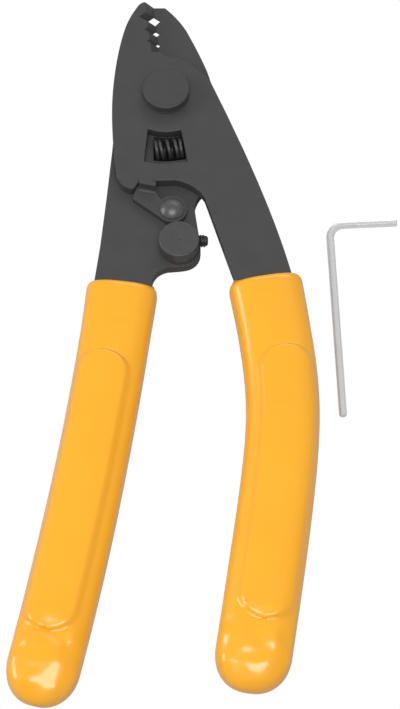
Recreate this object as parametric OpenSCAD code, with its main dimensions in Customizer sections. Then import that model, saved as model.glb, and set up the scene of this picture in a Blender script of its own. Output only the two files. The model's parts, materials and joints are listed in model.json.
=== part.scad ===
// Three-hole fibre stripper: two lapped steel plates on one rivet, a return
// spring in a window, a thumb latch, an adjustable closing stop, two soft
// grips and the hex key that turns the stop screw.
// Millimetres. Origin: pivot axis, on the flat rear head of the pivot rivet.
// +Y runs to the jaws, +X to the right grip, +Z to the face with the latch.

/* [Plates] */
// Thickness of each steel plate
plate_t = 2.5; // [2:0.1:3.2]
// Pivot axis to the tips of the jaws
jaw_len = 23.6; // [21:0.2:27]
// Widest reach of the head to the left of the pivot
head_reach = 11.6; // [10.8:0.1:13]
// Running gap between the two plates
plate_gap = 0.04; // [0.02:0.01:0.08]
// Half width of a plate's tang inside its grip
tang_hw = 4.5; // [3.5:0.1:5.2]
// Half width of a plate where it enters its grip
mouth_hw = 6.15; // [5.6:0.1:6.5]
// Length of tang inside a grip
tang_len = 74; // [50:1:85]

/* [Blades] */
// Angle of the line on which the blades meet, from +Y towards the left
mesh_angle = 5.9; // [3:0.1:7]
// How far each blade laps past that line when closed, in degrees
blade_lap = 2.2; // [1:0.1:2.6]
// Angle of the bevel that sharpens blades and notches, from the plate's normal
bevel_angle = 37; // [25:1:45]
// Radius from the pivot at which the blades end
blade_root = 12; // [11.2:0.1:12.3]
// Distance of the notches from the pivot
notch_r = [20.2, 16.9, 13.9]; // [13:0.1:21]
// Width of the closed notch pairs, apex to apex
notch_w = [1.75, 0.6, 0.2]; // [0.1:0.05:2]
// Half of the angle between a notch's walls
notch_half_angle = 35.5; // [25:0.5:45]
// How far the blades still close from the rest position, in degrees
close_angle = 3.2; // [2.5:0.1:3.6]

/* [Pivot rivet] */
// Radius of the rivet's shank
pivot_r = 2.6; // [2:0.1:3.2]
// Radius of the front head
pivot_head_r = 5; // [4.4:0.1:5.8]
// Height of the front head
pivot_head_h = 2.5; // [1.6:0.1:3]
// Radius of the flat rear head
rear_head_r = 4.5; // [4:0.1:5.4]
// Height of the flat rear head
rear_head_h = 1.5; // [1.2:0.1:2]
// Radial clearance of everything that turns on a rivet
run_clear = 0.05; // [0.03:0.01:0.08]

/* [Spring] */
// Inner radius of the spring windows about the pivot
window_in_r = 9.4; // [8.4:0.1:9.5]
// Outer radius of the front plate's window
window_out_r = 17.3; // [16:0.1:18]
// Outer radius of the rear plate's window
rear_window_out_r = 15.2; // [14.8:0.1:15.8]
// Outer diameter of the spring
spring_od = 4.7; // [4:0.1:4.8]
// Diameter of the spring wire
spring_wire = 0.75; // [0.5:0.05:0.85]
// Distance of the spring's axis from the pivot
spring_r = 12.2; // [12.05:0.05:12.35]
// Working coils between the two closed ends
spring_coils = 2.5; // [2:0.5:3]

/* [Latch] */
// Place of the latch rivet
latch_pos = [1.4, -27.85]; // [-29:0.1:4]
// Radius of the lever's eye
latch_eye_r = 3.2; // [2.9:0.1:3.5]
// Thickness of the lever
latch_t = 1.5; // [1.2:0.1:2]
// Radius from the latch rivet to the hook's inner wall
latch_reach = 9.25; // [9:0.05:9.5]
// Height of the thumb tab above the rear plate
tab_h = 3.9; // [3:0.1:5]
// Thickness of the thumb tab
tab_t = 1.1; // [0.8:0.1:1.3]
// Bend radius at the tab's foot
tab_bend = 0.6; // [0.3:0.1:0.8]
// Radius of the latch rivet's shank
latch_rivet_r = 1.4; // [1:0.1:1.7]
// Radius of the latch rivet's domed head
latch_head_r = 2.6; // [2.2:0.1:2.9]
// Height of the latch rivet's domed head
latch_head_h = 1.4; // [1:0.1:1.8]
// Height of the small rivet heads behind the rear plate
back_head_h = 0.7; // [0.4:0.1:1]

/* [Closing stop] */
// Place of the stop disc's centre
disc_pos = [2.9, -36.3]; // [-38:0.1:4]
// Radius of the stop disc
disc_r = 4.3; // [3.8:0.1:4.4]
// Height of the stop disc
disc_h = 3.7; // [3.4:0.1:5]
// Radius of the spigot that is riveted into the rear plate
spigot_r = 2; // [1.6:0.1:2.4]
// Radius of the set screw
screw_r = 1.35; // [1.2:0.05:1.5]
// Length of the set screw
screw_len = 10; // [8:0.5:10]
// Clearance between the screw and its hole
screw_clear = 0.05; // [0.03:0.01:0.1]
// Distance across the flats of the screw's socket
socket_af = 1.55; // [1.3:0.05:1.6]
// Depth of the socket
socket_depth = 2; // [1:0.1:3]

/* [Grips] */
// Overall length, from the tips of the jaws to the end of the left grip
overall_len = 164.5; // [155:0.5:175]
// Widths of the left and the right grip
grip_w = [15, 15.6]; // [14.4:0.1:17]
// Thickness of a grip without its pads
grip_t = 9.6; // [8.6:0.1:12]
// Distance of the grips' mouths below the pivot
grip_top = 46; // [45:0.1:49]
// How much shorter the right grip is than the left one
right_short = 1.6; // [0:0.1:4]
// Height of the raised pad on each face
pad_h = 0.8; // [0.3:0.1:1.2]
// Width of the raised pad
pad_w = 10.6; // [8:0.1:12]
// Clearance of a tang in its grip
pocket_clear = 0.06; // [0.03:0.01:0.15]

/* [Hex key] */
// Distance across the key's flats
key_af = 1.5; // [1.3:0.05:1.5]
// Length of the long arm
key_long = 45.8; // [42:0.1:50]
// Length of the short arm
key_short = 14.5; // [12:0.5:18]
// Radius of the bend's centre line
key_bend_r = 3; // [2:0.1:4]
// Place of the bend's outer corner
key_pos = [34.1, -26.85]; // [-40:0.1:50]
// Turn of the key on the table
key_turn = 2.8; // [-10:0.1:10]

/* [Hidden] */

// Levels
z_rear = rear_head_h;
z_split = z_rear + plate_t;
z_front = z_split + plate_gap;
z_face = z_front + plate_t;
cut = 1;          // how far a cutting solid runs past the face that it cuts
round_fn = 96;    // facets of round outlines

// Blade edges at rest: the front plate stands open by close_angle
front_edge = mesh_angle + close_angle - blade_lap;
rear_edge = mesh_angle + blade_lap;
notch_square = 0; // the notches are cut square to the tool, not to the blades

// Grip ends and centre lines
left_end = jaw_len - overall_len;
right_end = left_end + right_short;
function left_x(y) = -15.7 + 0.176 * (y + 91) - 0.00063 * pow(y + 91, 2);
function right_x(y) = 24.46 - 0.022 * (y + 74)
    - 0.174 * (sqrt(pow(y + 74, 2) + pow(15.8, 2)) - 15.8);

// ---- Helpers ----

function turn2(p, a) = [p.x * cos(a) - p.y * sin(a), p.x * sin(a) + p.y * cos(a)];
function polar(r, a) = [r * cos(a), r * sin(a)];
// A point on a blade edge at a distance r from the pivot
function on_edge(r, a) = turn2([0, r], a);
// Quadratic curve from p to q with control point c, without its first point
function curve(p, c, q, n = 10) =
    [for (i = [1:n]) let(t = i / n)
        (1 - t) * (1 - t) * p + 2 * t * (1 - t) * c + t * t * q];
// Arc about c from angle a to angle b
function arc(c, r, a, b, n = 8) = [for (i = [0:n]) c + polar(r, a + (b - a) * i / n)];
function ease(t) = let(u = min(1, max(0, t))) u * u * (3 - 2 * u);

// Half width of a plate at y, from its grip's mouth down to the tang's end
function tang_half(y) =
    tang_hw + (mouth_hw - tang_hw) * ease((y + grip_top + 14) / 12);
// One side of a tang, from the mouth to its end; side is 1 or -1
function tang_side(side, centre, clear = 0) =
    [for (i = [0:12]) let(y = -grip_top - i * (tang_len - tang_hw) / 12)
        [centre(y) + side * (tang_half(y) + clear), y]];
// The round end of a tang, from its right side to its left side
function tang_tip(centre, clear = 0) =
    let(y = -grip_top - tang_len + tang_hw)
    arc([centre(y), y], tang_hw + clear, 0, -180, 10);
function reversed(list) = [for (i = [len(list) - 1:-1:0]) list[i]];

// ---- Outlines ----

// Hook: its inner wall is an arc about the latch rivet
hook_y = -23.15;
hook_top = -22.25;
function hook_angle(y) = 180 - asin((y - latch_pos.y) / latch_reach);
hook_wall = arc(latch_pos, latch_reach, hook_angle(hook_top), hook_angle(hook_y), 6);
arch_y = -21.5;  // lower edge of the front plate between hook and arch

// The front plate's straight inner edge, which the stop screw meets
inner_low = [13.95, -43.34];
inner_high = [8.3, -25.54];

function front_outline() = let(
    tip = on_edge(jaw_len / cos(front_edge), front_edge),
    root = on_edge(blade_root, front_edge),
    hook = hook_wall[len(hook_wall) - 1]) concat(
    [tip, root],
    curve(root, [-1.2, 9.86], [0.9, 9.61], 6),
    [[2.2, 9.41]],
    curve([2.2, 9.41], [3.6, 8.96], [5, 7.96], 5),
    [[8.3, 5.06], [9.35, 3.86]],
    curve([9.35, 3.86], [21.2, -23.44], [25.97, -41.44], 12),
    tang_side(1, function(y) right_x(y)),
    tang_tip(function(y) right_x(y)),
    reversed(tang_side(-1, function(y) right_x(y))),
    [inner_low, inner_high],
    curve(inner_high, [6.2, -22.24], [2.1, arch_y + 0.15], 8),
    [[-1.9, arch_y], [hook_wall[0].x + 0.3, arch_y]],
    hook_wall,
    curve(hook, [hook.x - 0.25, hook_y - 0.35], [hook.x - 0.8, hook_y - 0.35], 4),
    curve([-8.3, hook_y - 0.15], [-9.7, -22.24], [-10.4, -20.24], 6),
    curve([-10.4, -20.24], [-10.9, -17.54], [-11.15, -13.14], 5),
    curve([-11.15, -13.14], [-2 * head_reach + 11.17, -4], [-11.2, 4.16], 10),
    curve([-11.2, 4.16], [-10.5, 11.36], [-9, 16.66], 8),
    curve([-9, 16.66], [-8.15, 19.66], [-6.3, jaw_len - 1.2], 6),
    curve([-6.3, jaw_len - 1.2], [-5.6, jaw_len], [-4.6, jaw_len], 5));

function rear_outline() = let(
    tip = on_edge(jaw_len / cos(rear_edge), rear_edge),
    root = on_edge(blade_root, rear_edge)) concat(
    [root, tip],
    [[-0.3, jaw_len]],
    curve([-0.3, jaw_len], [2.5, jaw_len - 2.6], [4.3, jaw_len - 5.75], 6),
    curve([4.3, jaw_len - 5.75], [7, 12.36], [8.85, 7.46], 8),
    curve([8.85, 7.46], [11.3, 0.46], [10.6, -9.04], 8),
    curve([10.6, -9.04], [10.1, -17.54], [7.9, -22.84], 6),
    curve([7.9, -22.84], [5.9, -25.24], [6.25, -27.64], 6),
    [[6.95, -32.54], [7.45, -36.04]],
    curve([7.45, -36.04], [7.75, -40.64], [3.2, -40.99], 8),
    curve([1.2, -41.09], [-1.8, -41.54], [-2.65, -44.04], 7),
    tang_side(1, function(y) left_x(y)),
    tang_tip(function(y) left_x(y)),
    reversed(tang_side(-1, function(y) left_x(y))),
    [[-13.84, -36.04], [-12.6, -24.24], [-11.5, -12.44]],
    curve([-11.5, -12.44], [-10.7, -0.04], [-9, 3.86], 8),
    [[-8.3, 4.76], [-5.2, 7.76]],
    curve([-5.2, 7.76], [-3.9, 8.96], [-3, 9.36], 4),
    curve([-3, 9.36], [-2, 9.86], root, 6));

// ---- Cuts ----

// Everything that a bevel at the local Y axis takes off: local +X is outside
module bevel_cut() {
    rotate([0, -bevel_angle, 0])
        translate([0, blade_root - cut, -cut]) cube([8, jaw_len, 3 * plate_t]);
}

// A notch with its apex at the origin, open towards +X, sloping like the bevel
module notch_cut() {
    mouth = 4;
    half = mouth * tan(notch_half_angle) / cos(bevel_angle);
    rotate([0, -bevel_angle, 0]) translate([0, 0, -cut])
        linear_extrude(3 * plate_t) polygon([[0, 0], [mouth, -half], [mouth, half]]);
}

// Bevel and notches of the jaw whose solid lies to the left of its blade
module blade_cuts(edge, opened) {
    rotate([0, 0, edge]) bevel_cut();
    for (i = [0:2])
        rotate([0, 0, opened])
            translate(on_edge(notch_r[i], mesh_angle) - [notch_w[i] / 2, 0])
                rotate([0, 0, notch_square]) notch_cut();
}

// The window of one plate: a ring's segment between two straight walls
module window(outer, walls, z) {
    translate([0, 0, z - cut]) linear_extrude(plate_t + 2 * cut)
        intersection() {
            difference() {
                circle(outer, $fn = round_fn);
                circle(window_in_r, $fn = round_fn);
            }
            polygon(walls);
        }
}

// Window walls: the front plate's right wall and the rear plate's left wall
// hold the spring
front_wall_x = 3.3;   // front plate's right wall at the window's inner edge
wall_lean = 0.18;      // how far that wall leans outwards for each mm down
rear_wall_x = -2.6;
front_walls = [[-3.7, -7], [-4.8, -19], [front_wall_x + 10 * wall_lean, -19],
    [front_wall_x - 2 * wall_lean, -7]];
rear_walls = [[rear_wall_x, -7], [rear_wall_x, -19], [7.5, -19], [6, -7]];

// ---- Plates and rivets ----

module front_plate() {
    color([0.29, 0.29, 0.3]) difference() {
        translate([0, 0, z_front]) linear_extrude(plate_t) polygon(front_outline());
        translate([0, 0, z_front - cut])
            cylinder(r = pivot_r + run_clear, h = plate_t + 2 * cut, $fn = round_fn);
        window(window_out_r, front_walls, z_front);
        translate([0, 0, z_front]) blade_cuts(front_edge, close_angle);
    }
}

module rear_plate() {
    color([0.27, 0.27, 0.28]) difference() {
        translate([0, 0, z_rear]) linear_extrude(plate_t) polygon(rear_outline());
        for (hole = [[[0, 0], pivot_r], [latch_pos, latch_rivet_r], [disc_pos, spigot_r]])
            translate([hole[0].x, hole[0].y, z_rear - cut])
                cylinder(r = hole[1] + run_clear, h = plate_t + 2 * cut, $fn = round_fn);
        window(rear_window_out_r, rear_walls, z_rear);
        // the same cuts turned over: they open to the left and to the back
        translate([0, 0, z_split]) rotate([0, 0, 2 * mesh_angle])
            rotate([0, 180, 0]) blade_cuts(mesh_angle - blade_lap, 0);
    }
}

// A round head with a rounded rim: foot at z = 0, flat top at z = h
module flat_head(r, h, rim) {
    rotate_extrude($fn = round_fn)
        polygon(concat([[0, 0], [r, 0]], arc([r - rim, h - rim], rim, 0, 90, 4), [[0, h]]));
}

module pivot_rivet() {
    head_z = z_face + plate_gap;
    color([0.25, 0.25, 0.26]) union() {
        translate([0, 0, head_z]) flat_head(pivot_head_r, pivot_head_h, 0.25);
        translate([0, 0, rear_head_h / 2])
            cylinder(r = pivot_r, h = head_z, $fn = round_fn);
        translate([0, 0, z_rear]) mirror([0, 0, 1]) flat_head(rear_head_r, rear_head_h, 0.3);
    }
}

module latch_rivet() {
    head_z = z_split + plate_gap + latch_t + plate_gap;
    dome_r = (pow(latch_head_r, 2) + pow(latch_head_h, 2)) / (2 * latch_head_h);
    dome_a = asin(latch_head_r / dome_r);
    color([0.32, 0.32, 0.33]) translate([latch_pos.x, latch_pos.y, 0]) union() {
        translate([0, 0, head_z]) rotate_extrude($fn = round_fn)
            polygon(concat([[0, 0]],
                arc([0, latch_head_h - dome_r], dome_r, 90 - dome_a, 90, 8)));
        translate([0, 0, z_rear - back_head_h / 2])
            cylinder(r = latch_rivet_r, h = head_z - z_rear + back_head_h, $fn = round_fn);
        translate([0, 0, z_rear]) mirror([0, 0, 1])
            flat_head(latch_rivet_r + 0.9, back_head_h, 0.2);
    }
}

// ---- Spring ----

spring_tilt = 5;      // its axis rises slightly to the right
spring_z = z_split + plate_gap / 2;
spring_seat = 0.05;   // gap between each end and its wall
spring_left = rear_wall_x + spring_seat;
spring_right = front_wall_x + (spring_r - 9) * wall_lean - spring_seat;
spring_span = spring_right - spring_left - spring_wire;
closed_pitch = spring_wire * 1.06;
spring_pitch = (spring_span - 2 * closed_pitch) / spring_coils;
spring_turns = spring_coils + 2;
spring_start = -58;   // angle at which the wire starts, from +Z
// Travel of the helix after some turns: one closed coil at each end, open middle
function coil_travel(n) = n * closed_pitch
    + (spring_pitch - closed_pitch) * min(spring_coils, max(0, n - 1));

module return_spring() {
    rings = 16 * spring_turns;
    sides = 8;
    mean_r = (spring_od - spring_wire) / 2;
    points = [for (i = [0:rings]) let(n = i / 16, a = 360 * n + spring_start)
        for (j = [0:sides - 1]) let(b = 360 * j / sides,
            r = mean_r + spring_wire / 2 * cos(b))
            [coil_travel(n) + spring_wire / 2 * sin(b), r * cos(a), r * sin(a)]];
    faces = concat(
        [[for (j = [0:sides - 1]) j]],
        [for (i = [0:rings - 1]) for (j = [0:sides - 1]) let(k = (j + 1) % sides)
            [i * sides + j, (i + 1) * sides + j, (i + 1) * sides + k, i * sides + k]],
        [[for (j = [sides - 1:-1:0]) rings * sides + j]]);
    color([0.2, 0.2, 0.21])
        translate([spring_left + spring_wire / 2, -spring_r - 0.35, spring_z])
            rotate([0, 0, spring_tilt]) rotate([90, 0, 0])
                polyhedron(points, faces, convexity = 8);
}

// ---- Latch ----

module latch_lever() {
    z0 = z_split + plate_gap;
    reach = latch_reach - run_clear;
    nose = latch_pos + polar(reach, hook_angle(hook_top - 0.15));
    heel = [nose.x - 0.95, nose.y - 2.95];
    tab_left = [nose.x + 0.35, nose.y - 0.45];
    tab_run = [3.5, -0.75];
    tab_right = tab_left + tab_run;
    eye_tangent = latch_pos + polar(latch_eye_r, 231.7);
    color([0.33, 0.33, 0.34]) difference() {
        union() {
            translate([latch_pos.x, latch_pos.y, z0])
                cylinder(r = latch_eye_r, h = latch_t, $fn = round_fn);
            translate([0, 0, z0]) linear_extrude(latch_t) polygon(concat(
                [nose], curve(nose, [nose.x - 0.75, nose.y - 1.4], heel, 5),
                [eye_tangent, latch_pos, latch_pos + [-1.2, 2.4]],
                curve(latch_pos + [-1.2, 2.4], latch_pos + [-2.6, 1.7],
                    tab_right + [0.25, -0.3], 5),
                [tab_right + [0.2, tab_t - 0.05], tab_left + [0.15, tab_t]]));
            // the thumb tab, bent up from the lever's upper edge
            translate([0, 0, z0]) linear_extrude(tab_h - plate_gap) polygon([
                tab_left, tab_right, tab_right + [0.2, tab_t - 0.05],
                tab_left + [0.15, tab_t]]);
            // the bend at its foot
            translate([tab_left.x, tab_left.y, z0 + latch_t])
                rotate([0, 0, atan2(tab_run.y, tab_run.x)]) rotate([90, 0, 90])
                    linear_extrude(norm(tab_run)) polygon(concat(
                        [[tab_t / 2, -latch_t / 2], [tab_t / 2, tab_bend]],
                        arc([-tab_bend, tab_bend], tab_bend, 0, -90, 5),
                        [[-tab_bend, -latch_t / 2]]));
        }
        translate([latch_pos.x, latch_pos.y, z0 - cut])
            cylinder(r = latch_rivet_r + run_clear, h = latch_t + 2 * cut, $fn = round_fn);
    }
}

// ---- Closing stop ----

screw_z = z_split + disc_h / 2;
screw_y = disc_pos.y + 0.4;
stop_clear = 0.06;
screw_nose = 0.7;     // rounding of the screw's tip
// The front plate's inner edge, turned shut, and its normal away from the screw
edge_low = turn2(inner_low, -close_angle);
edge_high = turn2(inner_high, -close_angle);
edge_normal = [edge_high.y - edge_low.y, edge_low.x - edge_high.x]
    / norm(edge_high - edge_low);
// The tip's rounding meets that edge, all but stop_clear
screw_tip = screw_nose + (edge_low * edge_normal - stop_clear - screw_nose
    - (screw_y + screw_r - screw_nose) * edge_normal.y) / edge_normal.x;

module stop_disc() {
    color([0.29, 0.29, 0.3]) difference() {
        translate([disc_pos.x, disc_pos.y, 0]) union() {
            translate([0, 0, z_split]) flat_head(disc_r, disc_h, 0.3);
            translate([0, 0, z_rear - back_head_h / 2])
                cylinder(r = spigot_r, h = plate_t + back_head_h, $fn = round_fn);
            translate([0, 0, z_rear]) mirror([0, 0, 1])
                flat_head(spigot_r + 0.9, back_head_h, 0.2);
        }
        translate([disc_pos.x - disc_r - cut, screw_y, screw_z]) rotate([0, 90, 0])
            cylinder(r = screw_r + screw_clear, h = 2 * (disc_r + cut), $fn = 64);
        // centre mark of the turned disc
        translate([disc_pos.x, disc_pos.y, z_split + disc_h - 0.25])
            cylinder(r1 = 0.05, r2 = 0.4, h = 0.251, $fn = 32);
    }
}

module set_screw() {
    color([0.2, 0.2, 0.21]) translate([screw_tip - screw_len, screw_y, screw_z])
        rotate([0, 90, 0]) difference() {
            rotate_extrude($fn = 64) polygon(concat(
                [[0, 0], [screw_r - 0.2, 0], [screw_r, 0.2]],
                arc([screw_r - screw_nose, screw_len - screw_nose], screw_nose, 0, 90, 5),
                [[0, screw_len]]));
            translate([0, 0, -cut])
                cylinder(r = socket_af / 2 / cos(30), h = socket_depth + cut, $fn = 6);
        }
}

// ---- Grips ----

grip_sides = 36;
rim = 1.4;            // rounding of the mouth
tail = 8.6;           // length of the rounded end
neck = 0.3;           // how much narrower a grip is below its mouth
pad_from = 17;        // mouth to the pad's upper end
pad_to = 11;          // grip's end to the pad's lower end
pad_edge = 2.2;       // width of the pad's soft edge
// Distances of the rings from the mouth
function grip_rings(length) = concat(
    [0, 0.15, 0.45, 0.9, rim],
    [6, 11, pad_from - 1, pad_from + 0.6, pad_from + 2.2, pad_from + 4.5],
    [for (i = [1:7]) pad_from + 4.5 + (length - pad_to - 9 - pad_from) * i / 7],
    [length - pad_to - 2.2, length - pad_to - 0.6, length - pad_to + 1],
    [for (i = [1:7]) length - tail * (1 - sin(90 * i / 7.3))]);
// Share of the full section left at a distance s from the mouth
function rim_inset(s) = s >= rim ? 0 : 1 - sqrt(1 - pow(1 - s / rim, 2));
function tail_share(s, length) = s <= length - tail ? 1
    : pow(1 - pow((s - length + tail) / tail, 2.15), 1 / 2.15);
// Height of the pad at a distance s along and u across
function pad_lift(s, u, length) = let(
    end = min(s - pad_from, length - pad_to - s),
    half = pad_w / 2 * sqrt(max(0, 1 - pow(1 - min(1, max(0, end) / 4.5), 2))))
    end <= 0 ? 0 : pad_h * ease((half - abs(u)) / pad_edge + 0.25);

function grip_ring(s, length, width, centre, z_mid) = let(
    y = -grip_top - s,
    lean = atan(centre(y - 0.5) - centre(y + 0.5)),
    waist = neck / 2 * ease(s / 12) * ease((70 - s) / 40),
    half_w = (width / 2 - waist - 0.5 * rim_inset(s)) * tail_share(s, length),
    half_t = (grip_t / 2 - 0.9 * rim_inset(s)) * tail_share(s, length))
    [for (j = [0:grip_sides - 1]) let(
        a = 360 * (j + 0.5) / grip_sides,
        u = half_w * sign(cos(a)) * pow(abs(cos(a)), 2 / 2.7),
        v = half_t * sign(sin(a)) * pow(abs(sin(a)), 2 / 2.7),
        lift = pad_lift(s, u, length) * sign(v) * ease(abs(v) / half_t * 2 - 0.6))
        [centre(y) + u * cos(lean), y + u * sin(lean), z_mid + v + lift]];

module grip(centre, length, width, z_mid, plate_z) {
    rings = grip_rings(length);
    last = len(rings) - 1;
    n = grip_sides;
    points = [for (s = rings) each grip_ring(s, length, width, centre, z_mid)];
    faces = concat(
        [[for (j = [0:n - 1]) j]],
        [for (i = [0:last - 1]) for (j = [0:n - 1]) let(k = (j + 1) % n)
            each [[i * n + j, (i + 1) * n + j, (i + 1) * n + k],
                [i * n + j, (i + 1) * n + k, i * n + k]]],
        [[for (j = [n - 1:-1:0]) last * n + j]]);
    difference() {
        polyhedron(points, faces, convexity = 4);
        translate([0, 0, plate_z - pocket_clear])
            linear_extrude(plate_t + 2 * pocket_clear) polygon(concat(
                [[centre(-grip_top) - mouth_hw - 1, -grip_top + 4],
                    [centre(-grip_top) + mouth_hw + 1, -grip_top + 4]],
                tang_side(1, centre, pocket_clear),
                tang_tip(centre, pocket_clear),
                reversed(tang_side(-1, centre, pocket_clear))));
    }
}

module left_grip() {
    color([0.98, 0.65, 0.1]) grip(function(y) left_x(y), -grip_top - left_end,
        grip_w[0], z_rear + plate_t / 2, z_rear);
}

module right_grip() {
    color([0.98, 0.65, 0.1]) grip(function(y) right_x(y), -grip_top - right_end,
        grip_w[1], z_front + plate_t / 2, z_front);
}

// ---- Hex key ----

// Stations along the key's centre line: x, y, heading and share of the section;
// the first and the last are the chamfered ends
key_chamfer = 0.2;
key_line = concat(
    [[0, -key_long, 90, 0.8], [0, key_chamfer - key_long, 90, 1]],
    [for (a = [0:10:90]) [key_bend_r * (1 - cos(a)), key_bend_r * (sin(a) - 1), 90 - a, 1]],
    [[key_short - key_chamfer, 0, 0, 1], [key_short, 0, 0, 0.8]]);

module hex_key() {
    // the key lies on the table, which the left grip rests on
    table_z = z_rear + plate_t / 2 - grip_t / 2 - pad_h;
    hex_r = key_af / 2 / cos(30);
    last = len(key_line) - 1;
    points = [for (k = key_line) for (j = [0:5])
        let(u = hex_r * k[3] * cos(60 * j), v = hex_r * k[3] * sin(60 * j))
        [k[0] - u * sin(k[2]), k[1] + u * cos(k[2]), v]];
    faces = concat(
        [[for (j = [0:5]) j]],
        [for (i = [0:last - 1]) for (j = [0:5]) let(n = (j + 1) % 6)
            each [[i * 6 + j, (i + 1) * 6 + j, (i + 1) * 6 + n],
                [i * 6 + j, (i + 1) * 6 + n, i * 6 + n]]],
        [[for (j = [5:-1:0]) last * 6 + j]]);
    color([0.72, 0.72, 0.74])
        translate([key_pos.x, key_pos.y, table_z + key_af / 2]) rotate([0, 0, key_turn])
            translate([hex_r, -hex_r, 0]) polyhedron(points, faces, convexity = 4);
}

rear_plate();
front_plate();
pivot_rivet();
return_spring();
latch_lever();
latch_rivet();
stop_disc();
set_screw();
left_grip();
right_grip();
hex_key();
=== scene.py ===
"""Dresses the packed fibre stripper: finishes, refined pieces, table, light and camera."""

import json
import logging
import math
from dataclasses import dataclass
from enum import Enum

import bmesh
import bpy
from mathutils import Matrix, Vector, noise

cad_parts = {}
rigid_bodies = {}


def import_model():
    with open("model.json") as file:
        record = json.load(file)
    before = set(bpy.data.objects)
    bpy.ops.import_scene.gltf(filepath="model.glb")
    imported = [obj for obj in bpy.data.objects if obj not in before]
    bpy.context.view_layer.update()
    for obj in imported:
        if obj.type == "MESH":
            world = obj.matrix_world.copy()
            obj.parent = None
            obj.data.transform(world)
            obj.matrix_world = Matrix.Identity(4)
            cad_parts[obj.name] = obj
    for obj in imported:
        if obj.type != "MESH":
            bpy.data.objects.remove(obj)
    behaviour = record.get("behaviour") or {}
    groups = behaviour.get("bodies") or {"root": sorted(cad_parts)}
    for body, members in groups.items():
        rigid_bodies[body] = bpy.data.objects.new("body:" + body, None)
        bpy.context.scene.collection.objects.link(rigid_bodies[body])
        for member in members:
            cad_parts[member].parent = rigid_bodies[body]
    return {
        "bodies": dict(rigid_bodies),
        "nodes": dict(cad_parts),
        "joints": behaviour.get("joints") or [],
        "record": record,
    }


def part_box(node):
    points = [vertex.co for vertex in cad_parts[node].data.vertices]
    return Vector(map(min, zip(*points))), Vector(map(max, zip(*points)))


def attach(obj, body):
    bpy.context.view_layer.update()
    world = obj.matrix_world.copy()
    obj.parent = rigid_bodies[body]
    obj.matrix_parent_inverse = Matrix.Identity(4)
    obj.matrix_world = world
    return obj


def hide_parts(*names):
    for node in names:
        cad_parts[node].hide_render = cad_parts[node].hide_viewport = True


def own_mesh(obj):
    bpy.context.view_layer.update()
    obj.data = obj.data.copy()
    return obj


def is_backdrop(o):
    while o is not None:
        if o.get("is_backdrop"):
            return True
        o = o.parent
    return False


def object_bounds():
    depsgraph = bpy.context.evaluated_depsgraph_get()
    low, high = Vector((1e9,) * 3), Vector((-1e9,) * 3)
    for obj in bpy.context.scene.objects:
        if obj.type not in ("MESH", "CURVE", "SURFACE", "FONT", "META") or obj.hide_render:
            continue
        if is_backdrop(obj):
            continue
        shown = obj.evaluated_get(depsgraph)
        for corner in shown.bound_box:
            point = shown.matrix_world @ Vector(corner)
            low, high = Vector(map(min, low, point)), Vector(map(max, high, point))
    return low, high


LOG = logging.getLogger("stripper")
MM = 0.001
Point = tuple[float, float, float]
Colour = tuple[float, float, float]


# ---------------------------------------------------------------- node trees


class Sheet:
    """A node tree with short calls to add nodes and wire them."""

    def __init__(self, tree: bpy.types.NodeTree) -> None:
        """Keeps the tree.

        Args:
            tree: the node tree that the calls write to.
        """
        self.tree = tree

    def add(self, kind: str, inputs: dict | None = None, **settings: object) -> bpy.types.Node:
        """Adds one node.

        Args:
            kind: Blender's type name of the node.
            inputs: values or sockets by the name or number of the input.
            settings: attributes of the node, set before its inputs.

        Returns:
            The new node.
        """
        node = self.tree.nodes.new(kind)
        for key, value in settings.items():
            setattr(node, key, value)
        for key, value in (inputs or {}).items():
            socket = node.inputs[key]
            if isinstance(value, bpy.types.NodeSocket):
                self.tree.links.new(value, socket)
            else:
                socket.default_value = value
        return node

    def math(self, operation: str, a: object, b: object = 0.0, c: object = 0.0,
             clamp: bool = False) -> bpy.types.NodeSocket:
        """Adds a Math node and returns its output.

        Args:
            operation: Blender's name of the operation.
            a: first value or socket.
            b: second value or socket.
            c: third value or socket.
            clamp: whether the result is kept between 0 and 1.

        Returns:
            The node's output socket.
        """
        node = self.add("ShaderNodeMath", {0: a, 1: b, 2: c}, operation=operation,
                        use_clamp=clamp)
        return node.outputs[0]

    def blend(self, factor: object, low: Colour, high: Colour) -> bpy.types.NodeSocket:
        """Mixes two colours by a mask.

        Args:
            factor: the mask's socket.
            low: colour where the mask is 0.
            high: colour where the mask is 1.

        Returns:
            The colour socket.
        """
        node = self.add("ShaderNodeMix", data_type="RGBA")
        self.tree.links.new(factor, node.inputs[0])
        node.inputs[6].default_value = (*low, 1.0)
        node.inputs[7].default_value = (*high, 1.0)
        return node.outputs[2]


class Effect(Enum):
    """The shared surface effects, each one shader node group."""

    CLOUDS = "cloudy_tone"
    GRAIN = "fine_grain"
    RINGS = "turning_rings"


def new_group(effect: Effect, inputs: list[tuple[str, str, object]],
              outputs: list[str]) -> tuple[Sheet, dict, bpy.types.Node]:
    """Starts a shader node group with named sockets.

    Args:
        effect: the effect that the group stands for.
        inputs: name, socket type and default of each input.
        outputs: names of the float outputs.

    Returns:
        The sheet, the input sockets by name, and the group's output node.
    """
    tree = bpy.data.node_groups.new(effect.value, "ShaderNodeTree")
    for label, kind, default in inputs:
        socket = tree.interface.new_socket(label, in_out="INPUT", socket_type=kind)
        if default is not None:
            socket.default_value = default
    for label in outputs:
        tree.interface.new_socket(label, in_out="OUTPUT", socket_type="NodeSocketFloat")
    sheet = Sheet(tree)
    source = sheet.add("NodeGroupInput")
    return sheet, {s.name: s for s in source.outputs if s.name}, sheet.add("NodeGroupOutput")


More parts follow.
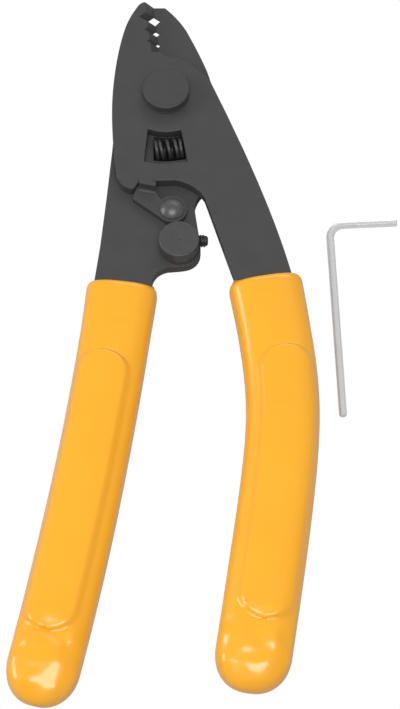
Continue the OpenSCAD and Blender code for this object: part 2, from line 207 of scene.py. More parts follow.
def effect_group(effect: Effect) -> bpy.types.NodeTree:
    """Gives the node group of a shared effect, and builds it on first use.

    Args:
        effect: the wanted effect.

    Returns:
        The node group.
    """
    found = bpy.data.node_groups.get(effect.value)
    if found:
        return found
    vector = ("Vector", "NodeSocketVector", None)
    if effect is Effect.CLOUDS:
        sheet, given, result = new_group(effect, [
            vector, ("Scale", "NodeSocketFloat", 100.0),
            ("Contrast", "NodeSocketFloat", 1.0)], ["Tone"])
        noise = sheet.add("ShaderNodeTexNoise", {
            "Vector": given["Vector"], "Scale": given["Scale"], "Detail": 3.0,
            "Roughness": 0.55})
        centred = sheet.math("SUBTRACT", noise.outputs[0], 0.5)
        tone = sheet.math("MULTIPLY_ADD", centred, given["Contrast"], 0.5, clamp=True)
        sheet.tree.links.new(tone, result.inputs["Tone"])
    elif effect is Effect.GRAIN:
        sheet, given, result = new_group(effect, [
            vector, ("Scale", "NodeSocketFloat", 2000.0)], ["Height"])
        fine = sheet.add("ShaderNodeTexNoise", {
            "Vector": given["Vector"], "Scale": given["Scale"], "Detail": 2.0})
        coarse = sheet.add("ShaderNodeTexNoise", {
            "Vector": given["Vector"],
            "Scale": sheet.math("MULTIPLY", given["Scale"], 0.27), "Detail": 1.0})
        height = sheet.math("MULTIPLY_ADD", coarse.outputs[0], 0.6, fine.outputs[0])
        sheet.tree.links.new(height, result.inputs["Height"])
    else:
        sheet, given, result = new_group(effect, [
            vector, ("Spacing", "NodeSocketFloat", 0.0002)], ["Height"])
        parts = sheet.add("ShaderNodeSeparateXYZ", {0: given["Vector"]})
        square = sheet.math("MULTIPLY", parts.outputs[0], parts.outputs[0])
        square = sheet.math("MULTIPLY_ADD", parts.outputs[1], parts.outputs[1], square)
        radius = sheet.math("SQRT", square)
        turn = sheet.math("DIVIDE", radius, given["Spacing"])
        noise = sheet.add("ShaderNodeTexNoise", {"W": turn, "Scale": 0.9, "Detail": 2.0},
                          noise_dimensions="1D")
        wave = sheet.math("SINE", sheet.math("MULTIPLY", turn, 2.0 * math.pi))
        sheet.tree.links.new(sheet.math("MULTIPLY_ADD", wave, 0.25, noise.outputs[0]),
                             result.inputs["Height"])
    return sheet.tree


# ------------------------------------------------------------------ finishes


@dataclass(frozen=True)
class Finish:
    """A procedural finish: clouds of tone, fine grain and an even gloss.

    Args:
        name: the material's name.
        low: colour of the darker clouds.
        high: colour of the lighter clouds.
        metallic: 1 for bare metal and 0 for oxide or plastic.
        roughness: how matte the surface is.
        rough_spread: how much the roughness varies with the clouds.
        cloud_scale: clouds per metre.
        contrast: how hard the clouds are.
        grain_scale: grains per metre.
        grain_depth: height of the grain in metres.
        specular: the shader's specular level.
        coat: weight of a clear glossy coat.
        coat_roughness: how soft that coat's reflections are.
    """

    name: str
    low: Colour
    high: Colour
    metallic: float = 0.0
    roughness: float = 0.5
    rough_spread: float = 0.06
    cloud_scale: float = 160.0
    contrast: float = 1.6
    grain_scale: float = 3000.0
    grain_depth: float = 0.000004
    specular: float = 0.5
    coat: float = 0.0
    coat_roughness: float = 0.1

    def start(self) -> tuple[bpy.types.Material, Sheet, bpy.types.Node, bpy.types.Node]:
        """Makes the empty material.

        Returns:
            The material, its sheet, its Principled node and its coordinate node.
        """
        material = bpy.data.materials.new(self.name)
        material.use_nodes = True
        material.node_tree.nodes.clear()
        sheet = Sheet(material.node_tree)
        shader = sheet.add("ShaderNodeBsdfPrincipled", {
            "Metallic": self.metallic, "Specular IOR Level": self.specular,
            "Coat Weight": self.coat, "Coat Roughness": self.coat_roughness})
        sheet.add("ShaderNodeOutputMaterial", {"Surface": shader.outputs[0]})
        return material, sheet, shader, sheet.add("ShaderNodeTexCoord")

    def dress(self, sheet: Sheet, shader: bpy.types.Node,
              vector: bpy.types.NodeSocket) -> bpy.types.NodeSocket:
        """Wires colour and roughness, and gives the height of the grain.

        Args:
            sheet: the material's sheet.
            shader: its Principled node.
            vector: the coordinates to read.

        Returns:
            The height socket that the bump reads.
        """
        clouds = sheet.add("ShaderNodeGroup", node_tree=effect_group(Effect.CLOUDS))
        sheet.tree.links.new(vector, clouds.inputs["Vector"])
        clouds.inputs["Scale"].default_value = self.cloud_scale
        clouds.inputs["Contrast"].default_value = self.contrast
        tone = clouds.outputs["Tone"]
        links = sheet.tree.links
        links.new(sheet.blend(tone, self.low, self.high), shader.inputs["Base Color"])
        spread = sheet.math("MULTIPLY_ADD", tone, self.rough_spread,
                            self.roughness - self.rough_spread / 2)
        links.new(spread, shader.inputs["Roughness"])
        grain = sheet.add("ShaderNodeGroup", node_tree=effect_group(Effect.GRAIN))
        links.new(vector, grain.inputs["Vector"])
        grain.inputs["Scale"].default_value = self.grain_scale
        return grain.outputs["Height"]

    def build(self) -> bpy.types.Material:
        """Builds the material.

        Returns:
            The finished material.
        """
        material, sheet, shader, coords = self.start()
        height = self.dress(sheet, shader, coords.outputs["Object"])
        bump = sheet.add("ShaderNodeBump", {
            "Height": height, "Strength": 1.0, "Distance": self.grain_depth})
        sheet.tree.links.new(bump.outputs[0], shader.inputs["Normal"])
        return material


@dataclass(frozen=True)
class TurnedFinish(Finish):
    """A finish with the fine rings that a lathe leaves round an axis along Z.

    Args:
        axis: X and Y of the turning axis, in metres.
        spacing: distance between the rings.
        ring_depth: height of the rings.
    """

    axis: tuple[float, float] = (0.0, 0.0)
    spacing: float = 0.00025
    ring_depth: float = 0.000006

    def build(self) -> bpy.types.Material:
        """Builds the material with its rings.

        Returns:
            The finished material.
        """
        material, sheet, shader, coords = self.start()
        height = self.dress(sheet, shader, coords.outputs["Object"])
        centred = sheet.add("ShaderNodeMapping", {
            "Vector": coords.outputs["Object"], "Location": (-self.axis[0], -self.axis[1], 0.0)})
        rings = sheet.add("ShaderNodeGroup", node_tree=effect_group(Effect.RINGS))
        sheet.tree.links.new(centred.outputs[0], rings.inputs["Vector"])
        rings.inputs["Spacing"].default_value = self.spacing
        grain = sheet.add("ShaderNodeBump", {
            "Height": height, "Strength": 1.0, "Distance": self.grain_depth})
        bump = sheet.add("ShaderNodeBump", {
            "Height": rings.outputs["Height"], "Strength": 1.0, "Distance": self.ring_depth,
            "Normal": grain.outputs[0]})
        sheet.tree.links.new(bump.outputs[0], shader.inputs["Normal"])
        return material


BLACK_OXIDE = Finish("black_oxide", (0.044, 0.044, 0.045), (0.052, 0.052, 0.053),
                     metallic=0.0, roughness=0.5, specular=0.4, cloud_scale=220.0)
# rubbed oxide edges and a painted highlight: every rounded edge is coloured lighter than the
# faces
WORN_EDGE_AND_HIGHLIGHT = Finish("worn_oxide_edge_and_highlight", (0.07, 0.07, 0.071), (0.13, 0.13, 0.132),
                   metallic=0.3, roughness=0.36, specular=0.5, cloud_scale=500.0)
# painted shade: the notches' ground slopes are coloured far darker than the oxide, standing for
# the shade inside the V-notches
NOTCH_PAINTED_SHADE = Finish("notch_painted_shade", (0.010, 0.010, 0.011), (0.020, 0.020, 0.021),
                      metallic=0.0, roughness=0.5, specular=0.3, cloud_scale=700.0)
SPRING_WIRE = Finish("spring_wire", (0.045, 0.045, 0.046), (0.085, 0.085, 0.087),
                     metallic=0.5, roughness=0.42, cloud_scale=900.0)
SCREW_BLACK = Finish("screw_black", (0.012, 0.012, 0.013), (0.03, 0.03, 0.032),
                     metallic=0.2, roughness=0.32, cloud_scale=900.0)
GRIP_VINYL = Finish("grip_vinyl", (0.90, 0.385, 0.008), (0.93, 0.43, 0.013),
                    roughness=0.3, rough_spread=0.03, cloud_scale=60.0, contrast=1.2,
                    grain_scale=900.0, grain_depth=0.000002, specular=0.5,
                    coat=0.45, coat_roughness=0.08)
# painted shade: the inside of the grips' slots is coloured dark brown, standing for the shade in
# that recess
GRIP_MOUTH_PAINTED_SHADE = Finish("grip_mouth_painted_shade", (0.20, 0.055, 0.004), (0.28, 0.08, 0.006),
                    roughness=0.6, cloud_scale=300.0)
ZINC_PLATE = Finish("zinc_plate", (0.86, 0.86, 0.87), (0.95, 0.95, 0.96),
                    metallic=0.7, roughness=0.26, cloud_scale=200.0, contrast=0.8,
                    grain_depth=0.0000006)
TABLE_PAINT = Finish("table_paint", (0.48, 0.48, 0.48), (0.50, 0.50, 0.50),
                     roughness=0.9, cloud_scale=8.0, grain_scale=500.0, specular=0.1)


# ---------------------------------------------------------------- mesh tools


def corners(node: str) -> tuple[Vector, Vector]:
    """Gives the lowest and the highest corner of a CAD node."""
    low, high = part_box(node)
    return Vector(low), Vector(high)


def finish_piece(mesh: bpy.types.Mesh, name: str, body: str,
                 replaced: str, angle: float = 35.0) -> bpy.types.Object:
    """Makes a mesh a piece of the tool.

    Args:
        mesh: the mesh, with its place in its vertices.
        name: the piece's name.
        body: the body that it moves with.
        replaced: the CAD node that it stands for.
        angle: edges sharper than this many degrees stay sharp.

    Returns:
        The piece.
    """
    mesh.name = name
    for face in mesh.polygons:
        face.use_smooth = True
    mesh.set_sharp_from_angle(angle=math.radians(angle))
    piece = bpy.data.objects.new(name, mesh)
    bpy.context.scene.collection.objects.link(piece)
    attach(piece, body)
    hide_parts(replaced)
    LOG.info("%s: %d faces, on %s", name, len(mesh.polygons), body)
    return piece


def skin(rings: list[list[Point]], name: str, close_start: bool = True,
         close_end: bool = True) -> bpy.types.Mesh:
    """Covers rings of equally many points with faces.

    Args:
        rings: the rings, each a closed loop of points in metres.
        name: the mesh's name.
        close_start: whether the first ring gets a cap.
        close_end: whether the last ring gets a cap.

    Returns:
        The mesh, with its faces pointing outwards.
    """
    count = len(rings[0])
    faces = [(i * count + j, i * count + (j + 1) % count,
              (i + 1) * count + (j + 1) % count, (i + 1) * count + j)
             for i in range(len(rings) - 1) for j in range(count)]
    if close_start:
        faces.append(tuple(range(count - 1, -1, -1)))
    if close_end:
        start = (len(rings) - 1) * count
        faces.append(tuple(range(start, start + count)))
    mesh = bpy.data.meshes.new(name)
    mesh.from_pydata([p for ring in rings for p in ring], [], faces)
    tidy_mesh(mesh)
    return mesh


def tidy_mesh(mesh: bpy.types.Mesh) -> None:
    """Merges doubles and turns all faces outwards.

    Args:
        mesh: the mesh to tidy.
    """
    work = bmesh.new()
    work.from_mesh(mesh)
    bmesh.ops.remove_doubles(work, verts=work.verts, dist=1e-7)
    bmesh.ops.recalc_face_normals(work, faces=work.faces)
    work.to_mesh(mesh)
    work.free()


def circle(radius: float, sides: int) -> list[tuple[float, float]]:
    """Gives points evenly round a circle, never quite shrunk to one point."""
    radius = max(radius, 1e-6)
    return [(radius * math.cos(2 * math.pi * j / sides),
             radius * math.sin(2 * math.pi * j / sides)) for j in range(sides)]


def lathe(profile: list[tuple[float, float]], centre: tuple[float, float], name: str,
          sides: int = 128) -> bpy.types.Mesh:
    """Turns a profile round an axis along Z.

    Args:
        profile: radius and height pairs from one end of the axis to the other, metres.
        centre: X and Y of the axis.
        name: the mesh's name.
        sides: facets round the axis.

    Returns:
        The closed mesh.
    """
    return skin([[(centre[0] + x, centre[1] + y, height) for x, y in circle(radius, sides)]
                 for radius, height in profile], name)


def rounding(radius: float, z: float, size: float, start: float, end: float,
             steps: int = 5) -> list[tuple[float, float]]:
    """Gives an arc of a profile.

    Args:
        radius: distance of the arc's centre from the axis.
        z: height of the arc's centre.
        size: the arc's radius.
        start: first angle in degrees, 0 outwards and 90 up.
        end: last angle.
        steps: segments of the arc.

    Returns:
        Radius and height pairs.
    """
    return [(radius + size * math.cos(math.radians(start + (end - start) * i / steps)),
             z + size * math.sin(math.radians(start + (end - start) * i / steps)))
            for i in range(steps + 1)]


def merged_copy(node: bpy.types.Object) -> bmesh.types.BMesh:
    """Copies a CAD node's mesh, joins its loose triangles and clears flat seams.

    Args:
        node: the CAD node's object.

    Returns:
        The copy, for further work.
    """
    work = bmesh.new()
    work.from_mesh(node.data)
    bmesh.ops.remove_doubles(work, verts=work.verts, dist=2e-7)
    bmesh.ops.dissolve_limit(work, angle_limit=math.radians(0.6), verts=work.verts,
                             edges=work.edges)
    return work


def slanted(face: bmesh.types.BMFace) -> bool:
    """Says whether a face is a ground slope, neither flat nor upright."""
    return 0.2 < abs(face.normal.z) < 0.97


def roll_edges(work: bmesh.types.BMesh, radius: float, fine: float) -> bpy.types.Mesh:
    """Rounds the edges of a copied plate as blanking leaves them.

    Args:
        work: the copied mesh, which is freed.
        radius: rounding of the blanked edges.
        fine: rounding of the ground blades and notches.

    Returns:
        The mesh, in which rounded edges have the second material and slopes the third.
    """
    for face in work.faces:
        face.material_index = 2 if slanted(face) else 0
    sharp = [e for e in work.edges if len(e.link_faces) == 2
             and e.calc_face_angle(0.0) > math.radians(28.0)]
    ground = [e for e in sharp if any(slanted(f) for f in e.link_faces)]
    blanked = [e for e in sharp if e not in set(ground)]
    for edges, size, steps in ((blanked, radius, 3), (ground, fine, 1)):
        edges = [e for e in edges if e.is_valid]
        if edges and size > 0.0:
            bmesh.ops.bevel(work, geom=edges, offset=size, segments=steps, profile=0.5,
                            affect="EDGES", clamp_overlap=True, material=1)
    mesh = bpy.data.meshes.new("rolled")
    work.to_mesh(mesh)
    work.free()
    return mesh


def dress_copy(frame: dict, node: str, name: str, body: str,
               rolls: tuple[float, float], materials: list[bpy.types.Material]) -> None:
    """Makes a piece from a CAD solid: rolled edges, finishes, and flat faces kept flat.

    Args:
        frame: the loaded frame.
        node: the CAD node.
        name: the piece's name.
        body: the body that it moves with.
        rolls: rounding of blanked and of ground edges.
        materials: finishes of the faces, the rounded edges and the slopes.
    """
    mesh = roll_edges(merged_copy(frame["nodes"][node]), *rolls)
    mesh.materials.clear()
    for material in materials:
        mesh.materials.append(material)
    piece = finish_piece(mesh, name, body, node)
    step = piece.modifiers.new("flat_faces", "WEIGHTED_NORMAL")
    step.keep_sharp = True
    step.weight = 100
    graph = bpy.context.evaluated_depsgraph_get()
    mesh = bpy.data.meshes.new_from_object(piece.evaluated_get(graph))
    piece.modifiers.remove(step)
    piece.data = mesh


def ease(value: float) -> float:
    """Gives the smooth step of a value between 0 and 1."""
    value = min(1.0, max(0.0, value))
    return value * value * (3.0 - 2.0 * value)


def hump(value: float) -> float:
    """Gives a soft bump, 1 at 0 and nearly 0 beyond 2."""
    return math.exp(-value * value)


# ------------------------------------------------------------ geometry nodes


@dataclass
class Coil:
    """Wire wound round the X axis, made by Geometry Nodes.

    Args:
        turns: turns in all.
        open_turns: turns wound at the open pitch, after the first closed one.
        closed_pitch: pitch of the closed turns, in metres.
        open_pitch: pitch of the open turns.
        mean_radius: radius of the wire's centre line.
        wire_radius: radius of the wire.
        start: angle at which the wire starts, in degrees from the local Y axis.
        steps: points in each turn.
        sides: facets round the wire.
    """

    turns: float
    open_turns: float
    closed_pitch: float
    open_pitch: float
    mean_radius: float
    wire_radius: float
    start: float
    steps: int = 48
    sides: int = 16

    def tree(self) -> bpy.types.NodeTree:
        """Gives the shared tree that winds the wire, and builds it on first use.

        Returns:
            The geometry node tree.
        """
        found = bpy.data.node_groups.get("wound_wire")
        if found:
            return found
        tree = bpy.data.node_groups.new("wound_wire", "GeometryNodeTree")
        for label, kind in (("Turns", "Float"), ("Open Turns", "Float"),
                            ("Closed Pitch", "Float"), ("Open Pitch", "Float"),
                            ("Mean Radius", "Float"), ("Wire Radius", "Float"),
                            ("Start", "Float"), ("Points", "Int"), ("Sides", "Int"),
                            ("Finish", "Material")):
            tree.interface.new_socket(label, in_out="INPUT", socket_type="NodeSocket" + kind)
        tree.interface.new_socket("Geometry", in_out="OUTPUT",
                                  socket_type="NodeSocketGeometry")
        sheet = Sheet(tree)
        given = sheet.add("NodeGroupInput").outputs
        line = sheet.add("GeometryNodeCurvePrimitiveLine", {"End": (1.0, 0.0, 0.0)})
        path = sheet.add("GeometryNodeResampleCurve", {
            "Curve": line.outputs[0], "Count": given["Points"]})
        factor = sheet.add("GeometryNodeSplineParameter").outputs["Factor"]
        turn = sheet.math("MULTIPLY", factor, given["Turns"])
        opened = sheet.math("MINIMUM", given["Open Turns"],
                            sheet.math("MAXIMUM", sheet.math("SUBTRACT", turn, 1.0), 0.0))
        extra = sheet.math("SUBTRACT", given["Open Pitch"], given["Closed Pitch"])
        along = sheet.math("MULTIPLY_ADD", extra, opened,
                           sheet.math("MULTIPLY", turn, given["Closed Pitch"]))
        angle = sheet.math("MULTIPLY_ADD", turn, 2.0 * math.pi, given["Start"])
        across = sheet.math("MULTIPLY", sheet.math("COSINE", angle), given["Mean Radius"])
        up = sheet.math("MULTIPLY", sheet.math("SINE", angle), given["Mean Radius"])
        place = sheet.add("ShaderNodeCombineXYZ", {0: along, 1: across, 2: up})
        wound = sheet.add("GeometryNodeSetPosition", {
            "Geometry": path.outputs[0], "Position": place.outputs[0]})
        section = sheet.add("GeometryNodeCurvePrimitiveCircle", {
            "Resolution": given["Sides"], "Radius": given["Wire Radius"]})
        tube = sheet.add("GeometryNodeCurveToMesh", {
            "Curve": wound.outputs[0], "Profile Curve": section.outputs[0],
            "Fill Caps": True})
        real = sheet.add("GeometryNodeRealizeInstances", {0: tube.outputs[0]})
        dressed = sheet.add("GeometryNodeSetMaterial", {
            "Geometry": real.outputs[0], "Material": given["Finish"]})
        sheet.add("NodeGroupOutput", {0: dressed.outputs[0]})
        return tree

    def wind(self, place: Matrix, finish: bpy.types.Material) -> bpy.types.Mesh:
        """Winds the wire and lays it at its place.

        Args:
            place: where the coil's start and axis lie.
            finish: the wire's material.

        Returns:
            The mesh, in the tool's frame.
        """
        tree = self.tree()
        carrier = bpy.data.objects.new("coil_carrier", bpy.data.meshes.new("coil_carrier"))
        bpy.context.scene.collection.objects.link(carrier)
        step = carrier.modifiers.new("wound_wire", "NODES")
        step.node_group = tree
        values = {"Turns": self.turns, "Open Turns": self.open_turns,
                  "Closed Pitch": self.closed_pitch, "Open Pitch": self.open_pitch,
                  "Mean Radius": self.mean_radius, "Wire Radius": self.wire_radius,
                  "Start": math.radians(self.start),
                  "Points": int(self.turns * self.steps) + 1, "Sides": self.sides,
                  "Finish": finish}
        for item in tree.interface.items_tree:
            if item.item_type == "SOCKET" and item.in_out == "INPUT":
                step[item.identifier] = values[item.name]
        graph = bpy.context.evaluated_depsgraph_get()
        mesh = bpy.data.meshes.new_from_object(carrier.evaluated_get(graph))
        bpy.data.objects.remove(carrier)
        mesh.transform(place)
        tidy_mesh(mesh)
        return mesh


# -------------------------------------------------------------------- pieces


@dataclass
class Jaws:
    """The two lapped steel plates.

    Args:
        edge_roll: rounding that blanking leaves along the edges.
        blade_roll: rounding of the ground edges.
    """

    edge_roll: float = 0.28 * MM
    blade_roll: float = 0.03 * MM

    def build(self, frame: dict) -> None:
        """Builds both plates from their CAD solids.

        Args:
            frame: the loaded frame.
        """
        # the rounded edges get the lighter worn finish with its painted highlight, and the notch
        # slopes get the painted shade
        finishes = [f.build() for f in (BLACK_OXIDE, WORN_EDGE_AND_HIGHLIGHT, NOTCH_PAINTED_SHADE)]
        for node, body in (("rear_plate", "rear_half"), ("front_plate", "front_half")):
            dress_copy(frame, node, node + "_dressed", body,
                       (self.edge_roll, self.blade_roll), finishes)


@dataclass
class PivotRivet:
    """The big rivet on which the plates turn.

    Args:
        rim: rounding of the front head's edge.
        foot: height of the bead at the front head's foot.
        groove: depth of the groove above that bead.
        back_rim: rounding of the rear head's edge.
        back_share: radius of the rear head as a share of the front one.
        gap: running gap under the front head.
        shank: radius of the shank.
    """

    rim: float = 0.3 * MM
    foot: float = 0.42 * MM
    groove: float = 0.22 * MM
    back_rim: float = 0.35 * MM
    back_share: float = 0.9
    gap: float = 0.04 * MM
    shank: float = 2.6 * MM

    def build(self) -> None:
        """Turns the rivet between the plates' outer faces."""
        rear_face = corners("rear_plate")[0].z
        low, high = corners("pivot_rivet")
        head = (high.x - low.x) / 2
        back = head * self.back_share
        foot_z = corners("front_plate")[1].z + self.gap
        profile = [(0.0, high.z)]
        profile += [(head * k, high.z) for k in (0.25, 0.5, 0.75, 0.88)]
        profile += rounding(head - self.rim, high.z - self.rim, self.rim, 90, 0, 6)
        profile += [(head, foot_z + self.foot + self.groove),
                    (head - self.groove, foot_z + self.foot + self.groove * 0.3)]
        profile += rounding(head - self.groove, foot_z + self.foot - self.groove * 0.9,
                            self.groove, 70, -20, 4)
        profile += [(head - 0.1 * MM, foot_z), (self.shank, foot_z),
                    (self.shank, rear_face), (back, rear_face)]
        profile += rounding(back - self.back_rim, low.z + self.back_rim, self.back_rim,
                            0, -90, 6)
        profile += [(back * 0.5, low.z), (0.0, low.z)]
        mesh = lathe(profile, (0.0, 0.0), "pivot_rivet_turned", 160)
        mesh.materials.append(TurnedFinish(
            "turned_pivot", (0.042, 0.042, 0.043), (0.050, 0.050, 0.051), metallic=0.0,
            roughness=0.5, specular=0.4, cloud_scale=400.0).build())
        finish_piece(mesh, "pivot_rivet_turned", "rear_half", "pivot_rivet")


@dataclass
class ReturnSpring:
    """The compression spring that opens the handles.

    Args:
        wire: diameter of the wire.
        outer: outer diameter of the spring.
        coils: working coils between the closed ends.
        left: X of the spring's left end.
        right: X of its right end.
        axis_y: Y of its axis at the left end.
        tilt: rise of the axis to the right, in degrees.
        start: angle at which the wire starts.
        keep: share of the length that is left when the handles are shut; not used.
    """

    wire: float = 0.75 * MM
    outer: float = 4.7 * MM
    coils: float = 2.5
    left: float = -2.55 * MM
    right: float = 3.826 * MM
    axis_y: float = -12.55 * MM
    tilt: float = 5.0
    start: float = -58.0
    keep: float = 0.9

    def build(self) -> None:
        """Winds the spring."""
        low, high = corners("return_spring")
        axis_z = (low.z + high.z) / 2
        closed = self.wire * 1.06
        span = self.right - self.left - self.wire
        coil = Coil(turns=self.coils + 2.0, open_turns=self.coils, closed_pitch=closed,
                    open_pitch=(span - 2.0 * closed) / self.coils,
                    mean_radius=(self.outer - self.wire) / 2, wire_radius=self.wire / 2,
                    start=self.start, steps=56, sides=16)
        place = (Matrix.Translation((self.left + self.wire / 2, self.axis_y, axis_z))
                 @ Matrix.Rotation(math.radians(self.tilt), 4, "Z")
                 @ Matrix.Rotation(math.radians(90.0), 4, "X"))
        mesh = coil.wind(place, SPRING_WIRE.build())
        piece = finish_piece(mesh, "return_spring_wound", "rear_half",
                             "return_spring", angle=60.0)
        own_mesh(piece)


@dataclass
class Latch:
    """The thumb latch and the domed rivet on which it swings.

    Args:
        edge_roll: rounding of the lever's edges.
        dome_rim: height of the dome's upright foot.
        gap: running gap under a rivet's head.
        lever_t: thickness of the lever.
        shank: radius of the rivet's shank.
        back_r: radius of its rear head.
        back_h: height of its rear head.
        back_rim: rounding of the rear head's edge.
    """

    edge_roll: float = 0.16 * MM
    dome_rim: float = 0.25 * MM
    gap: float = 0.04 * MM
    lever_t: float = 1.5 * MM
    shank: float = 1.4 * MM
    back_r: float = 2.3 * MM
    back_h: float = 0.7 * MM
    back_rim: float = 0.2 * MM

    def build(self, frame: dict) -> None:
        """Builds the lever and its rivet.

        Args:
            frame: the loaded frame.
        """
        # the lever's rounded edges get the worn finish, which also paints a highlight on them
        oxide, edge = (bpy.data.materials[f.name] for f in (BLACK_OXIDE, WORN_EDGE_AND_HIGHLIGHT))
        dress_copy(frame, "latch_lever", "latch_lever_dressed", "latch",
                   (self.edge_roll, self.edge_roll), [oxide, edge, oxide])
        low, high = corners("latch_rivet")
        head = (high.x - low.x) / 2
        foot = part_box("latch_lever")[0][2] + self.lever_t + self.gap
        rise = high.z - foot - self.dome_rim
        ball = (head * head + rise * rise) / (2 * rise)
        spread = math.degrees(math.asin(head / ball))
        profile = [(max(0.0, r), z) for r, z in rounding(
            0.0, high.z - ball, ball, 90.0, 90.0 - spread, 14)]
        profile += [(head, foot + 0.05 * MM), (head - 0.05 * MM, foot),
                    (self.shank, foot), (self.shank, low.z + self.back_h),
                    (self.back_r, low.z + self.back_h)]
        profile += rounding(self.back_r - self.back_rim, low.z + self.back_rim,
                            self.back_rim, 0, -90, 4)
        profile += [(0.0, low.z)]
        centre = ((low.x + high.x) / 2, (low.y + high.y) / 2)
        dome = lathe(profile, centre, "latch_rivet_domed", 96)
        dome.materials.append(Finish(
            "domed_rivet", (0.075, 0.075, 0.077), (0.105, 0.105, 0.108), metallic=0.25,
            roughness=0.34, cloud_scale=600.0).build())
        finish_piece(dome, "latch_rivet_domed", "rear_half", "latch_rivet")


@dataclass
class ClosingStop:
    """The turned disc and the threaded set screw through it.

    Args:
        edge_roll: rounding of the disc's hole edges.
        pitch: pitch of the screw's thread.
        depth: height of the thread.
        nose: rounding of the screw's end.
        socket: distance across the flats of the socket.
        socket_depth: its depth.
    """

    edge_roll: float = 0.12 * MM
    pitch: float = 0.5 * MM
    depth: float = 0.24 * MM
    nose: float = 0.7 * MM
    socket: float = 1.55 * MM
    socket_depth: float = 2.0 * MM

    def build(self, frame: dict) -> None:
        """Builds the disc and the screw.

        Args:
            frame: the loaded frame.
        """
        low, high = corners("stop_disc")
        centre = ((low.x + high.x) / 2, (low.y + high.y) / 2)
        turned = TurnedFinish("turned_stop", (0.048, 0.048, 0.049), (0.058, 0.058, 0.059),
                              roughness=0.45, specular=0.45, cloud_scale=400.0,
                              axis=centre, spacing=0.0003).build()
        # the disc's rounded edges get the worn finish, which also paints a highlight on them
        dress_copy(frame, "stop_disc", "stop_disc_turned", "rear_half",
                   (self.edge_roll, self.edge_roll),
                   [turned, bpy.data.materials[WORN_EDGE_AND_HIGHLIGHT.name], turned])
        self.build_screw()

    def build_screw(self) -> None:
        """Builds the set screw: a core with a socket, and a thread wound on it."""
        low, high = corners("set_screw")
        outer = (high.z - low.z) / 2
        core = outer - self.depth
        length = high.x - low.x
        flats = self.socket / 2
        sides = 72
        profile = [(core * 0.93, 0.0), (core, 0.1 * MM), (core, length - self.nose)]
        profile += [(core - self.nose * 0.8 + r, x) for r, x in rounding(
            0.0, length - self.nose, self.nose * 0.8, 0, 78, 6)][1:]
        profile += [(0.0, length - self.nose * 0.2)]
        rings = [self.hexagon(flats, self.socket_depth, sides, 0.02),
                 self.hexagon(flats, self.socket_depth, sides, 1.0),
                 self.hexagon(flats, 0.0, sides, 1.0)]
        rings += [[(along, y, z) for y, z in circle(radius, sides)]
                  for radius, along in profile]
        black = SCREW_BLACK.build()
        axis = Vector((low.x, (low.y + high.y) / 2, (low.z + high.z) / 2))
        mesh = skin(rings, "screw_core")
        mesh.transform(Matrix.Translation(axis))
        mesh.materials.append(black)
        turns = (length - self.nose - 0.3 * MM) / self.pitch
        thread = Coil(turns=turns, open_turns=0.0, closed_pitch=self.pitch,
                      open_pitch=self.pitch, mean_radius=core,
                      wire_radius=self.depth, start=0.0, steps=40, sides=6)
        ridge = thread.wind(Matrix.Translation(axis + Vector((0.25 * MM, 0.0, 0.0))), black)
        work = bmesh.new()
        work.from_mesh(mesh)
        work.from_mesh(ridge)
        work.to_mesh(mesh)
        work.free()
        finish_piece(mesh, "set_screw_threaded", "stop_screw", "set_screw",
                     angle=50.0)

    def hexagon(self, flats: float, along: float, sides: int, share: float) -> list[Point]:
        """Gives a ring of the socket.

        Args:
            flats: half of the distance across the flats.
            along: distance from the screw's end.
            sides: points of the ring.
            share: size of the ring, 1 at the socket's wall.

        Returns:
            The ring's points about the screw's axis.
        """
        ring = []
        for j in range(sides):
            angle = 2 * math.pi * j / sides
            radius = share * flats / math.cos((angle % (math.pi / 3)) - math.pi / 6)
            ring.append((along, radius * math.cos(angle), radius * math.sin(angle)))
        return ring


class Side(Enum):
    """Which handle a grip sits on, by the way to its outer side."""

    LEFT = -1
    RIGHT = 1


